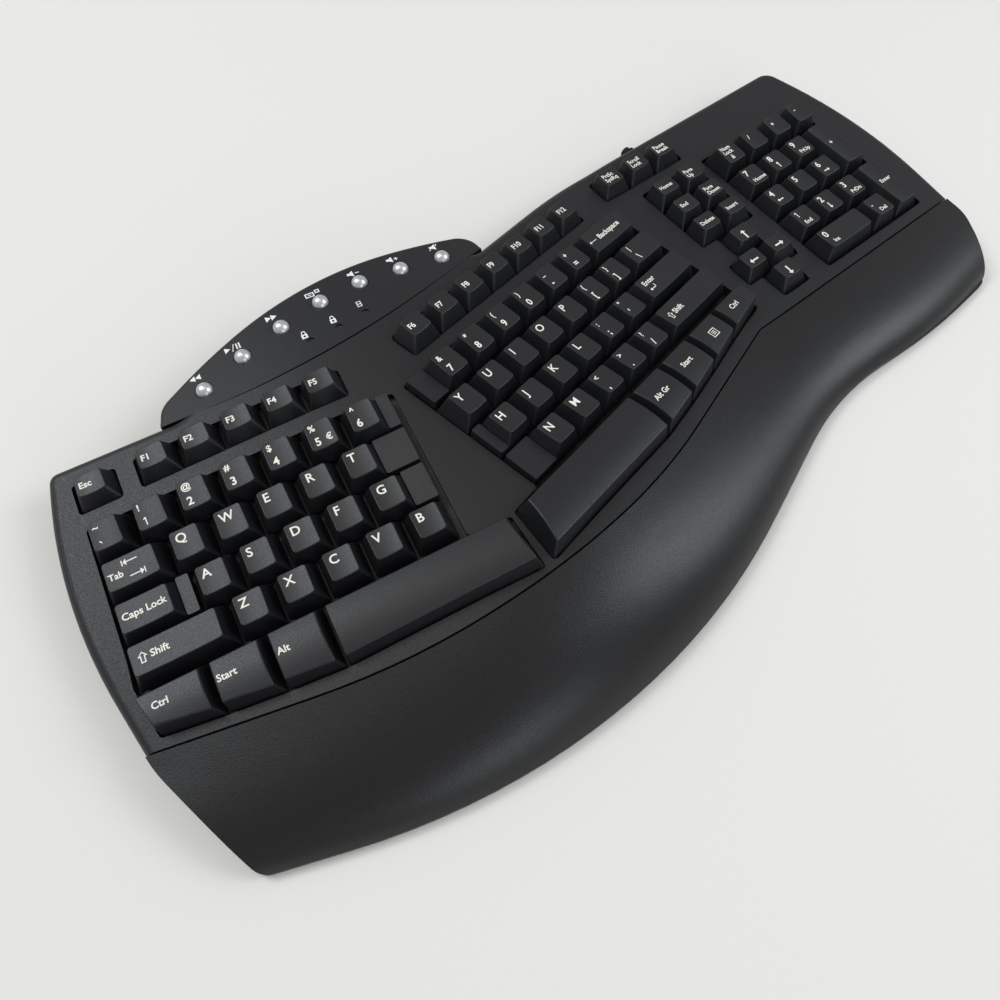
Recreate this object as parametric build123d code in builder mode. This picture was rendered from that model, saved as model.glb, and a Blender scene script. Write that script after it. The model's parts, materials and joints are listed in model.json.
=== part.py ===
from build123d import *
from math import atan, cos, radians, sin, sqrt
import os

os.makedirs("parts", exist_ok=True)

# Ergonomic split keyboard: two turned letter blocks on a ridged deck, numpad, palm rest and media panel.
# Overall sizes. The home point lies on the desk under the ridge, level with the middle of the letter rows.
case_width = 498
case_depth = 243
home_x = -83.4
home_y = 18.5

# Key grid
key_pitch = 19.05
key_gap = 0.95

# Letter blocks: key tops of the A row lie in the block planes
block_offset = 75.35
block_shift = 0.2
block_height = 36.3
block_yaw = 12.01
crown_slope_share = 0.1162
rear_slope_share = 0.0112
deck_drop = 7

# Numpad block
pad_offset_x = 261.5
pad_offset_y = 10.75
pad_height = 24.7
pad_slope_share = 0.0115
pad_rear_slope_share = 0.0235
pad_deck_drop = 6

# Casings
wall = 2.5
plate = 2
foot_height = 1.5
ridge_radius = 380
valley_radius = 150
edge_radius = 4.5
seam_radius = 0.7
well_radius = 1.8
rim_radius = 0.7
collar_wall = 1.4
groove = 0.7
lip_height = 4.5
lip_wall = 1.2
fit_gap = 0.3
overrun = 1
reach = 600
upright_share = 0.9
level_share = 0.5

# Stack under the key tops, measured along the block normal
cap_skirt = 8.8
key_travel = 3
frame_depth = 12.2
frame_plate = 1.5
barrel_rise = 2
barrel_wall = 1.2
stem_radius = 3.3
slide_gap = 0.15
stem_depth = 14
sheet_depth = 17.4
sheet_plate = 0.6
dome_radius = 4.6
dome_top_radius = 2.8
membrane_plate = 0.5
rib_width = 2.4

# Caps
cap_wall = 1.2
cap_ceiling = 1.4
top_depth = 13
cap_corner = 0.8
top_corner = 1.6
cap_edge = 0.4

# Caps: sizes of the row profiles. The rise is the height of the top over the block plane, the tilt faces the user.
cap_flare = (6.1, 5.1)
small_flare = (6, 4.6)
small_shift = 1.9
dish_depth = 0.5
tilt_limit = 6
number_rise, number_tilt = 1.3, 5
qwer_rise, qwer_tilt = 0.1, 2.5
asdf_rise, asdf_tilt = 0, 0
zxcv_rise, zxcv_tilt = 1.1, -3
function_rise, function_tilt = -1, 3
system_rise, system_tilt = 0, 3
pad_number_rise, pad_zero_rise = 2.2, 1.3
shelf_depth = 5
shelf_inset = 0.5
bar_rise = 1.2
bar_radius = 48
bar_inset = 2.8
bar_outer_inset = 0.9
bar_edge = 0.8
bar_gap = 0.6
bar_front_gap = 0.8
space_post = 26
small_depth = 14.5

# Screws, feet and ribs
screw_recess = 2.2
screw_slot = 0.6
lip_rise = 4
rib_length = 40
left_rib_shares = [(-3.2, 0), (-1, 0), (1.2, 0)]
right_rib_shares = [(-1.2, 0), (1, 0), (3.2, 0)]
pad_rib_shares = [(-2.8, 1), (-0.5, 0), (1.5, 0)]
board_post_radius = 2.5
board_post_shares = [(-0.06, 0), (0.06, 0), (0, 0.09)]
media_post_shares = [(-0.12, 0.325), (0, 0.32), (0.12, 0.325)]
foot_shares = [(-0.177, 0.19), (0.556, 0.313)]
foot_width = 30
foot_length = 19
foot_round = 2.2
foot_slope = 0.8
foot_drop = 2.7
foot_gap = 0.4
foot_pin_radius = 1.4
pocket_wall = 1.6
pocket_depth = 5.9
pin_cover = 0.6
rubber_foot_width = 22
rubber_foot_length = 8
rubber_foot_shares = [
    (-0.28, -0.35), (-0.15, -0.46), (0.13, -0.46), (0.33, -0.33), (0.56, -0.345), (-0.27, 0.2), (0.14, 0.345),
    (0.45, 0.34), (0.63, 0.23),
]

# Stack, boards and gland
frame_margin = 3.9
ridge_gap_shares = [(-0.0022, -1), (-0.0022, 1)]
valley_gap_shares = [(0.372, -1), (0.372, 0.05), (0.3313, 0.2605), (0.31, 0.4), (0.31, 1)]
dome_height = 3.1
board_height = 8
board_plate = 1.6
board_width = 84
board_depth = 34
board_share = (0, 0.045)
chip_size = 12
chip_height = 2
connector_width = 18
connector_depth = 5
media_board_height = 15
switch_size = 6
switch_height = 4
lamp_height = 2.5
button_rise = 3.2
dome_arc_radius = 4.23
button_flange = 1
button_stem_radius = 1.6
button_travel = 1.2
lens_sink = 0.4
gland_share = (0.42, 0.3786)
gland_height = 12.1
gland_radius = 3.2
gland_flange = 1.2
gland_reach = 3
cord_radius = 2.2

desk = Plane((home_x, home_y, 0))
case_floor = foot_height
parting = foot_height + plate
stack_depth = sheet_depth + sheet_plate + membrane_plate


def deck_frame(x, y, height, yaw, side_slope, rear_slope):
    """Plane that leans with the deck: it rises by side_slope along X and by rear_slope along Y."""
    across = Vector(cos(radians(yaw)), sin(radians(yaw)), 0)
    across = Vector(across.X, across.Y, side_slope * across.X + rear_slope * across.Y)
    return Plane(origin=(home_x + x, home_y + y, height), x_dir=across, z_dir=(-side_slope, -rear_slope, 1))


left_block = deck_frame(-block_offset, 0, block_height, -block_yaw, crown_slope_share, rear_slope_share)
right_block = deck_frame(block_offset, 2 * block_shift, block_height, block_yaw, -crown_slope_share, rear_slope_share)
pad_block = deck_frame(pad_offset_x, pad_offset_y, pad_height, 0, pad_slope_share, pad_rear_slope_share)

# Deck surface: two planes meet at the ridge, the right one meets the numpad deck in a valley
left_seat = left_block.offset(-deck_drop).origin
pad_seat = pad_block.offset(-pad_deck_drop).origin
ridge_height = left_seat.Z + crown_slope_share * (home_x - left_seat.X) - rear_slope_share * (left_seat.Y - home_y)
pad_line = pad_seat.Z + pad_slope_share * (home_x - pad_seat.X) - rear_slope_share * (pad_seat.Y - home_y)
valley_x = (ridge_height - pad_line) / (crown_slope_share + pad_slope_share)
valley_height = ridge_height - crown_slope_share * valley_x
crown_angle = atan(crown_slope_share)
ridge_reach = ridge_radius * sin(crown_angle)
apex_height = ridge_height - ridge_radius * (1 / cos(crown_angle) - 1)
crown_plane = Plane(origin=(home_x, home_y, 0), x_dir=(1, 0, 0), z_dir=(0, -1, -rear_slope_share))


def crown_height(x, y):
    """Height of the deck at a place measured from the home point."""
    if abs(x) < ridge_reach:
        line = apex_height - ridge_radius + sqrt(ridge_radius**2 - x**2)
    else:
        line = ridge_height - crown_slope_share * abs(x)
    pad_side = valley_height + pad_slope_share * (x - valley_x)
    return (max(line, pad_side) if x > 0 else line) + rear_slope_share * y


def crown_form(drop, plane=crown_plane):
    """Everything under the deck surface, lowered by drop."""
    left_x, right_x = -case_width, case_width
    with BuildPart() as form:
        with BuildSketch(plane):
            with BuildLine():
                FilletPolyline(
                    (left_x, ridge_height + crown_slope_share * left_x - drop),
                    (0, ridge_height - drop),
                    (valley_x, valley_height - drop),
                    (right_x, valley_height + pad_slope_share * (right_x - valley_x) - drop),
                    radius=[ridge_radius, valley_radius],
                )
                Polyline(
                    (right_x, valley_height + pad_slope_share * (right_x - valley_x) - drop),
                    (right_x, -case_depth),
                    (left_x, -case_depth),
                    (left_x, ridge_height + crown_slope_share * left_x - drop),
                )
            make_face()
        extrude(amount=reach, both=True)
    return form.part


def scaled(shares):
    """Outline points from shares of the case width and depth."""
    return [(case_width * x, case_depth * y) for x, y in shares]


def pitched(shares):
    """Outline points or key places from shares of the key pitch."""
    return [(key_pitch * x, key_pitch * y) for x, y in shares]


# Outlines, as shares of the case width and depth from the home point, with corner radii
body_shares = [
    (-0.3333, -0.6), (-0.3333, 0.1399), (-0.2861, 0.3642), (-0.1446, 0.2938), (-0.12, 0.6), (0.12, 0.6),
    (0.1406, 0.2922), (0.3193, 0.3786), (0.6472, 0.3786), (0.6777, 0.117), (0.6358, -0.42), (0.6, -0.6),
]
body_radii = [15, 255, 5, 15, 15, 15, 15, 300, 9, 250, 15, 15]
groove_shares = [(-0.4, -0.1267), (-0.0056, -0.4226), (0.3434, -0.183), (0.75, -0.183)]
groove_radii = [309, 15]
seam_shares = [(0.1747, 0.3086), (-0.0217, 0.2241), (-0.1867, 0.3148)]
seam_radii = [240]
palm_shares = [
    (-0.333, 0.1), (-0.333, -0.2058), (-0.3122, -0.4239), (-0.0255, -0.6691), (0.3683, -0.3786),
    (0.5261, -0.3971), (0.6205, -0.3786), (0.6526, -0.2346), (0.6526, 0.1),
]
palm_radii = [60, 7, 314, 160, 400, 10, 25]
palm_front_shares = [(-0.36, -0.3831), (-0.0255, -0.6691), (0.3683, -0.3786), (0.5261, -0.3971), (0.7, -0.3491)]
palm_front_radii = [314, 160, 400]
panel_shares = [(-0.2, 0.27), (-0.1763, 0.358), (-0.004, 0.4733), (0.1747, 0.3621), (0.1747, 0.2)]
panel_radii = [12, 250, 12]
palm_cut_shares = [groove_shares[-1], (0.75, -0.8), (-0.4, -0.8), groove_shares[0]]
panel_cut_shares = [seam_shares[-1], (-0.1867, 0.6), (0.1747, 0.6), seam_shares[0]]

with BuildSketch(desk) as body_outline:
    with BuildLine():
        FilletPolyline(*scaled(body_shares), radius=body_radii, close=True)
    make_face()

with BuildSketch(desk) as palm_side:
    with BuildLine():
        FilletPolyline(*scaled(groove_shares), radius=groove_radii)
        Polyline(*scaled(palm_cut_shares))
    make_face()

with BuildSketch(desk) as panel_side:
    with BuildLine():
        FilletPolyline(*scaled(seam_shares), radius=seam_radii)
        Polyline(*scaled(panel_cut_shares))
    make_face()

with BuildSketch(desk) as palm_outline:
    with BuildLine():
        FilletPolyline(*scaled(palm_shares), radius=palm_radii)
        Line(*scaled([palm_shares[-1], palm_shares[0]]))
    make_face()

with BuildSketch(desk) as panel_outline:
    with BuildLine():
        FilletPolyline(*scaled(panel_shares), radius=panel_radii)
        Line(*scaled([panel_shares[-1], panel_shares[0]]))
    make_face()


def prism(outline, growth, floor, height=case_depth):
    """Upright block over an outline that is grown or drawn in."""
    with BuildPart() as form:
        with BuildSketch(desk.offset(floor)):
            add(outline.sketch_local)
            if growth:
                offset(amount=growth, kind=Kind.INTERSECTION)
        extrude(amount=height)
    return form.part


def finish(piece, name):
    """Labels a finished piece and writes it."""
    piece.part.label = name
    export_step(piece.part, f"parts/{name}.step")
    print(name, len(piece.solids()), round(piece.part.volume), piece.part.is_valid)


def round_upper_rim(form, radius):
    """Fillets the outside edges of the upper surface, inside the builder of the form."""
    upper = form.faces().filter_by(lambda face: face.normal_at().Z > upright_share)
    fillet([edge for edge in form.edges() if sum(edge in face.edges() for face in upper) == 1], radius)


# Key places, as shares of the key pitch from the block's middle, and key widths as shares of the pitch
number_left_shares = [(x, 1.5) for x in (-3.5, -2.5, -1.5, -0.5, 0.5, 1.5)]
six_share = (2.5, 1.5)
letter_t_share = (2, 0.5)
letter_g_share = (2.25, -0.5)
qwer_shares = [(x, 0.5) for x in (-2, -1, 0, 1)]
asdf_shares = [(x, -0.5) for x in (-1.75, -0.75, 0.25, 1.25)]
zxcvb_shares = [(x, -1.5) for x in (-1.25, -0.25, 0.75, 1.75, 2.75)]
tab_share, shift_left_share = (-3.25, 0.5), (-2.875, -1.5)
number_right_shares = [(x, 1.5) for x in (-1.5, -0.5, 0.5, 1.5, 2.5)]
seven_share = (-2.5, 1.5)
letter_h_share = (-2.75, -0.5)
letter_n_share = (-2.25, -1.5)
yuiop_shares = [(x, 0.5) for x in (-3, -2, -1, 0, 1, 2, 3)]
jkl_shares = [(x, -0.5) for x in (-1.75, -0.75, 0.25, 1.25, 2.25)]
nm_shares = [(x, -1.5) for x in (-1.25, -0.25, 0.75, 1.75)]
backspace_share, backslash_share = (4, 1.5), (4.25, 0.5)
enter_share, shift_right_share = (3.875, -0.5), (3.625, -1.5)
tab_width_share, caps_width_share, shift_width_share = 1.5, 1.75, 2.25
backspace_width_share, backslash_width_share = 2, 1.5
enter_width_share, right_shift_width_share = 2.25, 2.75
left_step_share, right_step_share = 3.24, -3.47
caps_body_share = 1.5
caps_body_place_share = (-3.25, -0.5)

function_y_share = 2.803
small_well_share = 0.798
escape_share = (-3.525, function_y_share)
f1_f5_shares = [(-0.06 + 1.013 * step, function_y_share) for step in (-2, -1, 0, 1, 2)]
f6_f12_shares = [(0.9 + 1.004 * step, function_y_share) for step in (-3, -2, -1, 0, 1, 2, 3)]
escape_well_share, f1_f5_well_share, f6_f12_well_share = (-3.525, 1.035), (-0.06, 5.07), (0.9, 7.03)

# Front rim of each letter well: key boundaries of the bottom row with the depth of the rim there
left_rim_shares = [(-3.87, -3.04), (-2.5, -3.23), (-1.245, -3.37), (0.015, -3.475), (4.56, -3.43)]
right_rim_shares = [
    (-4.68, -3.43), (-0.19, -3.495), (1.08, -3.39), (2.35, -3.245), (3.62, -3.08), (5.13, -2.91),
]
bottom_back_share = -2.03
left_well_shares = [(-4.02, 2.016), (3.38, 2.016), (3.38, bottom_back_share), (4.42, bottom_back_share)]
left_well_shares += left_rim_shares[::-1] + [(-4.08, -1.85), (-4.04, -1.3)]
right_well_shares = [(-3.507, bottom_back_share), (-3.507, 2.016), (5.2, 2.016), (5.17, -1.85)]
right_well_shares += right_rim_shares[::-1] + [(-4.34, bottom_back_share)]
ctrl_left_back_share, ctrl_right_back_share = -4.06, 5.16
space_left_back_share, space_right_back_share = 4.38, -4.3

# Numpad side
system_shares = [(x, 3.347) for x in (-4.44, -3.435, -2.43)]
navigation_shares = [(x, y) for y in (2.115, 1.281, 0.446) for x in (-3.386, -2.383)]
arrow_shares = [(-2.871, -0.462), (-3.344, -1.281), (-2.346, -1.281), (-2.814, -2.094)]
operator_shares = [(-1, 2), (0, 2), (1, 2), (2, 2)]
digit_shares = [(x, y) for y in (1, 0, -1) for x in (-1, 0, 1)]
point_share, zero_share, plus_share, pad_enter_share = (1, -2), (-0.5, -2), (2, 0.5), (2, -1.5)
system_well_shares = [(-4.96, 2.94), (-1.9, 2.94), (-1.9, 3.753), (-4.96, 3.753)]
navigation_well_shares = [
    (-3.93, 2.57), (-1.858, 2.57), (-1.858, 0.032), (-2.341, 0.032), (-2.341, -0.871), (-1.848, -0.871),
    (-1.848, -1.69), (-2.3, -1.69), (-2.3, -2.52), (-3.333, -2.52), (-3.333, -1.69), (-3.848, -1.69),
    (-3.848, -0.871), (-3.375, -0.871), (-3.375, 0.032), (-3.93, 0.032),
]
pad_well_shares = [(-1.545, 2.54), (2.541, 2.54), (2.541, -2.54), (-1.545, -2.54)]

# Palm rest sections and media panel
palm_first_share, palm_last_share = -0.36, 0.69
palm_sections = 18
palm_front_run_share, palm_front_rise_share, palm_back_rise_share = 0.62, 1, 0.1
palm_back = 4
seam_step = 0.3
seam_depth = 65
panel_fall_share = 0.0875
panel_edge_radius = 2.5
media_button_shares = [
    (-0.1363, 0.3325), (-0.0908, 0.3498), (-0.0458, 0.3601), (-0.0004, 0.3663), (0.0436, 0.3642), (0.0869, 0.349),
    (0.1313, 0.3313),
]
lens_shares = [(-0.0329, 0.2934), (-0.0036, 0.2877), (0.0261, 0.2885)]
button_radius = 4.1
lens_radius = 1.6

# Screw places from the home point, as shares of the case width and depth
deck_screw_shares = [
    (-0.2376, 0.2144), (-0.095, 0.1527), (0.0755, 0.1457), (0.251, 0.2222), (0, -0.075), (0.3574, 0.1317),
    (0.4147, 0.2605), (0.643, 0.1646), (0.6386, -0.0823), (0.6024, 0.3128),
]
palm_screw_shares = [
    (-0.24, -0.36), (-0.08, -0.43), (0.1, -0.43), (0.27, -0.34), (0.48, -0.285), (0.6, -0.285),
]
panel_screw_shares = [(-0.09, 0.3), (0.093, 0.31)]
boss_radius = 2.6
screw_radius = 1.3
screw_head_radius = 2.5
screw_head = 1.8
screw_length = 9
screw_gap = 0.1
boss_seat = 6.5
boss_pad_radius = 4.2


def well_sketch(plane, outlines, growth=0):
    """Outlines of key wells on a plane, each with rounded corners, grown by a margin."""
    with BuildSketch(plane) as sketch:
        for outline in outlines:
            with BuildLine():
                FilletPolyline(*pitched(outline), radius=well_radius, close=True)
            make_face()
        if growth:
            offset(amount=growth, kind=Kind.INTERSECTION)
    return sketch.sketch


def slot_outline(middle_share, width_share):
    """Well of a row of function keys."""
    half = small_well_share / 2
    low, high = function_y_share - half, function_y_share + half
    left, right = middle_share - width_share / 2, middle_share + width_share / 2
    return [(left, low), (right, low), (right, high), (left, high)]


left_wells = [left_well_shares, slot_outline(*escape_well_share), slot_outline(*f1_f5_well_share)]
right_wells = [right_well_shares, slot_outline(*f6_f12_well_share)]
pad_wells = [system_well_shares, navigation_well_shares, pad_well_shares]
blocks = (
    (left_block, left_wells, deck_drop),
    (right_block, right_wells, deck_drop),
    (pad_block, pad_wells, pad_deck_drop),
)


def deck_prism(form, growth):
    """Cuts the deck form at the groove and at the panel seam, set back by growth."""
    with BuildPart() as cut:
        add(form)
        add(prism(palm_side, growth, 0), mode=Mode.SUBTRACT)
        add(prism(panel_side, growth, 0), mode=Mode.SUBTRACT)
    return cut.part


def cavity(drop, inset, floor):
    """Inside space of the top case, lowered and drawn in."""
    with BuildPart() as space:
        add(prism(body_outline, -inset, floor))
        add(crown_form(drop), mode=Mode.INTERSECT)
    return deck_prism(space.part, inset + groove / 2)


def posts(shares, radius, floor, height):
    """Upright round posts at the screw places."""
    with BuildPart() as group:
        with BuildSketch(desk.offset(floor)):
            with Locations(*scaled(shares)):
                Circle(radius)
        extrude(amount=height)
    return group.part


# Top case: ridged deck with rounded sides, open below, a collar round every key well
with BuildPart() as deck_form:
    add(prism(body_outline, 0, parting))
    add(crown_form(0), mode=Mode.INTERSECT)
    round_upper_rim(deck_form, edge_radius)

deck_solid = deck_prism(deck_form.part, groove / 2)


def in_deck_surface(edge):
    """True for an edge that lies in the deck surface."""
    middle = edge.position_at(0.5)
    height = crown_height(middle.X - home_x, middle.Y - home_y)
    return abs(height - middle.Z) < groove / 2 and abs(edge.tangent_at(0.5).Z) < level_share


with BuildPart() as deck_inserts:
    for block, wells, drop in blocks:
        extrude(well_sketch(block.offset(-drop), wells, collar_wall), amount=drop - frame_depth)
    for block, wells, drop in blocks:
        extrude(
            well_sketch(block.offset(-frame_depth - overrun), wells),
            amount=frame_depth + key_pitch,
            mode=Mode.SUBTRACT,
        )
    add(posts(deck_screw_shares, boss_radius, boss_seat, case_depth))
    add(deck_solid, mode=Mode.INTERSECT)

gland_x, gland_y = scaled([gland_share])[0]
gland_plane = Plane(origin=(home_x + gland_x, home_y + gland_y, gland_height), z_dir=(0, 1, 0))

with BuildPart() as top_case:
    add(deck_solid)
    for block, wells, drop in blocks:
        extrude(
            well_sketch(block.offset(-frame_depth - overrun), wells),
            amount=frame_depth + key_pitch,
            mode=Mode.SUBTRACT,
        )
        fillet([edge for edge in top_case.edges(Select.LAST) if in_deck_surface(edge)], rim_radius)
    add(cavity(wall, wall, parting - overrun), mode=Mode.SUBTRACT)
    add(deck_inserts.part)
    add(posts(deck_screw_shares, screw_radius, 0, boss_seat + screw_length), mode=Mode.SUBTRACT)
    with BuildSketch(gland_plane.offset(-wall - overrun)):
        Circle(gland_radius)
    extrude(amount=wall + 2 * overrun, mode=Mode.SUBTRACT)
finish(top_case, "top_case")

# Palm rest: the deck carried on forwards and rolled down to a low front lip
with BuildLine(desk) as groove_line:
    FilletPolyline(*scaled(groove_shares), radius=groove_radii)

with BuildLine(desk) as front_line:
    FilletPolyline(*scaled(palm_front_shares), radius=palm_front_radii)


def depth_at(line, x):
    """Depth from the home point of an outline where it crosses x."""
    section = Plane(origin=(home_x + x, 0, 0), z_dir=(1, 0, 0))
    met = [point for edge in line.edges() for point in edge.intersect(section) or []]
    return met[0].Y - home_y


def palm_form(inset, floor):
    """Rolled form of the palm rest, drawn in by inset."""
    with BuildPart() as form:
        for step in range(palm_sections):
            share = palm_first_share + (palm_last_share - palm_first_share) * step / (palm_sections - 1)
            x = case_width * share
            back = depth_at(groove_line, x)
            front = depth_at(front_line, x) + inset
            top = crown_height(x, back) - seam_step - inset
            section = Plane(origin=(home_x + x, home_y, 0), x_dir=(0, 1, 0), z_dir=(1, 0, 0))
            with BuildSketch(section):
                with BuildLine():
                    Spline(
                        (front, lip_height - inset),
                        (back + palm_back, top + rear_slope_share * palm_back),
                        tangents=[(palm_front_run_share, palm_front_rise_share), (1, palm_back_rise_share)],
                    )
                    Polyline(
                        (back + palm_back, top + rear_slope_share * palm_back),
                        (back + palm_back, floor),
                        (front, floor),
                        (front, lip_height - inset),
                    )
                make_face()
        loft()
    return form.part


def palm_region(inset, gap, floor, height=case_depth):
    """Upright block over the palm rest, drawn in by inset, with a gap along the groove."""
    with BuildPart() as region:
        add(prism(palm_outline, -inset, floor, height))
        add(prism(palm_side, -inset - gap, floor, height), mode=Mode.INTERSECT)
    return region.part


with BuildPart() as palm_solid:
    add(palm_form(0, parting))
    add(palm_region(0, groove / 2, parting), mode=Mode.INTERSECT)

with BuildPart() as palm_bosses:
    add(posts(palm_screw_shares, boss_radius, boss_seat, case_depth))
    add(palm_solid.part, mode=Mode.INTERSECT)

with BuildPart() as palm_cavity:
    add(palm_form(wall, 0))
    add(palm_region(wall, groove / 2, 0), mode=Mode.INTERSECT)

with BuildPart() as palm_rest:
    add(palm_solid.part)
    add(palm_cavity.part, mode=Mode.SUBTRACT)
    add(palm_bosses.part)
    add(posts(palm_screw_shares, screw_radius, 0, boss_seat + screw_length), mode=Mode.SUBTRACT)
finish(palm_rest, "palm_rest")

# Media panel: lens-shaped cover that falls away behind the deck
panel_plane = Plane(origin=(home_x, home_y + seam_depth, 0), x_dir=(1, 0, 0), z_dir=(0, -1, panel_fall_share))
panel_drop = seam_step - rear_slope_share * seam_depth


def panel_height(x, y):
    """Height of the panel at a place measured from the home point."""
    return crown_height(x, seam_depth) - seam_step - panel_fall_share * (y - seam_depth)


def panel_frame(place, drop=0):
    """Plane on the panel at a place given as shares, square to the surface."""
    x, y = case_width * place[0], case_depth * place[1]
    side_slope = -x / sqrt(ridge_radius**2 - x**2) if abs(x) < ridge_reach else -crown_slope_share * x / abs(x)
    frame = deck_frame(x, y, panel_height(x, y), 0, side_slope, -panel_fall_share)
    return frame.offset(-drop)


def panel_region(inset, gap, floor, height=case_depth):
    """Upright block over the media panel, drawn in by inset, with a gap along the seam."""
    with BuildPart() as region:
        add(prism(panel_outline, -inset, floor, height))
        add(prism(panel_side, -inset - gap, floor, height), mode=Mode.INTERSECT)
    return region.part


with BuildPart() as panel_form:
    add(prism(panel_outline, 0, parting))
    add(crown_form(panel_drop, panel_plane), mode=Mode.INTERSECT)
    round_upper_rim(panel_form, panel_edge_radius)

with BuildPart() as panel_solid:
    add(panel_form.part)
    add(prism(panel_side, -groove / 2, parting), mode=Mode.INTERSECT)

with BuildPart() as panel_bosses:
    add(posts(panel_screw_shares, boss_radius, boss_seat, case_depth))
    add(panel_solid.part, mode=Mode.INTERSECT)

with BuildPart() as panel_cavity:
    add(panel_region(wall, groove / 2, 0))
    add(crown_form(panel_drop + wall, panel_plane), mode=Mode.INTERSECT)

with BuildPart() as media_panel:
    add(panel_solid.part)
    add(panel_cavity.part, mode=Mode.SUBTRACT)
    add(panel_bosses.part)
    add(posts(panel_screw_shares, screw_radius, 0, boss_seat + screw_length), mode=Mode.SUBTRACT)
    for place in media_button_shares:
        with BuildSketch(panel_frame(place, wall + overrun)):
            Circle(button_radius + fit_gap)
        extrude(amount=wall + 2 * overrun, mode=Mode.SUBTRACT)
    for place in lens_shares:
        with BuildSketch(panel_frame(place, wall + overrun)):
            Circle(lens_radius + slide_gap)
        extrude(amount=wall + 2 * overrun, mode=Mode.SUBTRACT)
finish(media_panel, "media_panel")

# Caps: each is shaped about its own middle, with its top at rise over the block plane
def key_cap(width, depth, rise, tilt, flare, shift=0, stems=((0, 0),), shelf=None):
    """Hollow cap with sloping sides, a dished top and round stems; a shelf is a low step from x to x."""
    narrow_x, narrow_y = flare
    height = cap_skirt + rise
    crest = dish_depth + top_depth * sin(radians(tilt_limit))
    grow = (height + crest) / height
    upper_width, upper_depth = width - narrow_x * grow, depth - narrow_y * grow
    bowl = ((width - narrow_x) / 2) ** 2 / (2 * dish_depth)
    with BuildPart() as cap:
        with BuildSketch(Plane.XY.offset(-cap_skirt)):
            RectangleRounded(width, depth, cap_corner)
        with BuildSketch(Plane((0, shift * grow, rise + crest))):
            RectangleRounded(upper_width, upper_depth, top_corner)
        loft(ruled=True)
        with Locations((0, shift - bowl * sin(radians(tilt)), rise + bowl * cos(radians(tilt)))):
            Cylinder(bowl, case_depth, rotation=(tilt - 90, 0, 0), mode=Mode.SUBTRACT)
        fillet(cap.faces().sort_by(Axis.Z)[-1].edges(), cap_edge)
        if shelf:
            left, right = shelf
            with BuildSketch(Plane(((left + right) / 2, 0, -cap_skirt))):
                RectangleRounded(right - left, depth, cap_corner)
            with BuildSketch(Plane(((left + right) / 2, shelf_inset / 2, -shelf_depth))):
                RectangleRounded(right - left - shelf_inset, depth - 2 * shelf_inset, cap_corner)
            loft(ruled=True)
            with BuildSketch(Plane(((left + right) / 2, 0, -cap_skirt))):
                Rectangle(right - left - 2 * cap_wall - shelf_inset, depth - 2 * cap_wall - 2 * shelf_inset)
            extrude(amount=cap_skirt - shelf_depth - cap_wall, mode=Mode.SUBTRACT)
        with BuildSketch(Plane.XY.offset(-cap_skirt)):
            Rectangle(width - 2 * cap_wall, depth - 2 * cap_wall)
        with BuildSketch(Plane((0, shift, rise - cap_ceiling - dish_depth))):
            Rectangle(width - narrow_x - 2 * cap_wall, depth - narrow_y - 2 * cap_wall)
        loft(ruled=True, mode=Mode.SUBTRACT)
        with BuildSketch(Plane.XY.offset(-stem_depth)):
            with Locations(*stems):
                Circle(stem_radius)
        extrude(amount=stem_depth + rise - cap_ceiling)
    return cap.part


def drawn_in(outline, left, right, depth):
    """Outline of a bottom-row cap with each side drawn in."""
    (x0, y0), (x1, y1), (x2, y2), (x3, y3) = outline
    return [(x0 + left, y0 - depth), (x1 + left, y1 + depth), (x2 - right, y2 + depth), (x3 - right, y3 - depth)]


def bar_cap(outline, rise, stems, insets):
    """Hollow cap over a four-sided outline with a convex top, for the bottom row."""
    left, right = insets
    with BuildPart() as bar:
        with BuildSketch(Plane.XY.offset(-cap_skirt)):
            Polygon(*outline, align=None)
        with BuildSketch(Plane.XY.offset(rise + overrun)):
            Polygon(*drawn_in(outline, left, right, bar_inset), align=None)
        loft(ruled=True)
        middle = bar.part.bounding_box().center()
        with Locations((middle.X, middle.Y, rise - bar_radius)):
            Cylinder(bar_radius, reach, rotation=(0, 90, 0), mode=Mode.INTERSECT)
        upper = [edge for edge in bar.edges() if max(point.Z for point in edge.vertices()) > -cap_skirt / 2]
        fillet(upper, bar_edge)
        with BuildSketch(Plane.XY.offset(-cap_skirt)):
            Polygon(*drawn_in(outline, cap_wall, cap_wall, cap_wall), align=None)
        with BuildSketch(Plane.XY.offset(rise - 2 * cap_ceiling)):
            Polygon(*drawn_in(outline, left + cap_wall, right + cap_wall, bar_inset + cap_wall), align=None)
        loft(ruled=True, mode=Mode.SUBTRACT)
        with BuildSketch(Plane.XY.offset(-stem_depth)):
            with Locations(*stems):
                Circle(stem_radius)
        extrude(amount=stem_depth + rise - 2 * cap_ceiling + overrun / 2)
    return bar.part


def unit_width(share):
    """Base width of a cap that takes up share key pitches."""
    return key_pitch * share - key_gap


def write_caps(name, block, places, cap):
    """One node of like caps at their places on a block."""
    with BuildPart(block) as keys:
        with Locations(*pitched(places)):
            add(cap)
    finish(keys, name)


# Keys of the left block
number_cap = key_cap(unit_width(1), unit_width(1), number_rise, number_tilt, cap_flare)
qwer_cap = key_cap(unit_width(1), unit_width(1), qwer_rise, qwer_tilt, cap_flare)
asdf_cap = key_cap(unit_width(1), unit_width(1), asdf_rise, asdf_tilt, cap_flare)
zxcv_cap = key_cap(unit_width(1), unit_width(1), zxcv_rise, zxcv_tilt, cap_flare)
function_cap = key_cap(unit_width(1), small_depth, function_rise, function_tilt, small_flare, small_shift)


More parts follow.
